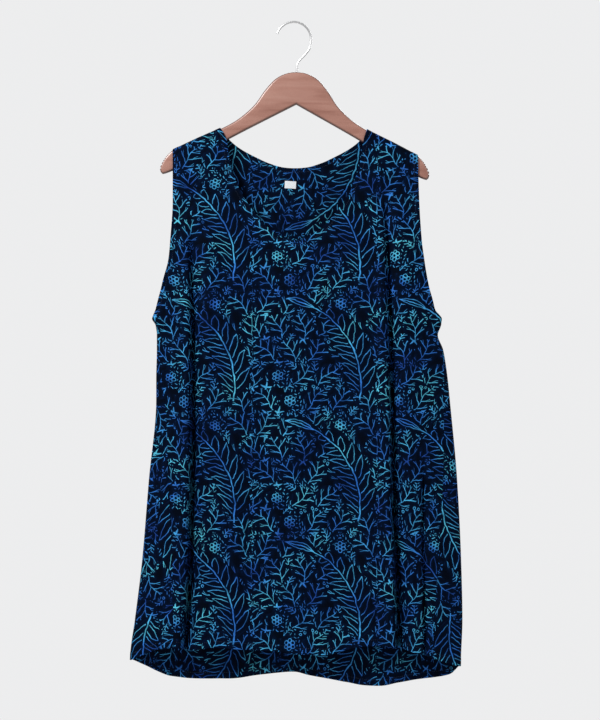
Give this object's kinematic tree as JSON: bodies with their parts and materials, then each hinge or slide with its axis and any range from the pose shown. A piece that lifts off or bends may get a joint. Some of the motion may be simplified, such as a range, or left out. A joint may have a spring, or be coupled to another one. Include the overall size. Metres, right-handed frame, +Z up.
{
  "type": "sleeveless top on hanger",
  "caption": "Sleeveless A-line top with a scooped neck and longer back hem, hanging flat on a wooden hanger by its wire hook.",
  "frame": {"origin": "inside top of the hook, where a peg or rail carries it", "axes": "+Z up, +Y towards the wall behind, the top faces -Y, +X to the right of someone who faces it"},
  "size_m": [0.4996, 0.0502, 0.9992],
  "materials": {
    "printed_cloth": "soft woven viscose, near-black navy ground with a blue and teal leaf print",
    "label_tape": "plain white woven tape",
    "varnished_wood": "satin reddish-brown varnish",
    "polished_wire": "polished steel wire"
  },
  "bodies": {
    "root": {"front": "printed_cloth", "back": "printed_cloth", "label": "label_tape", "hanger": "varnished_wood", "hook": "polished_wire"}
  },
  "joints": []
}
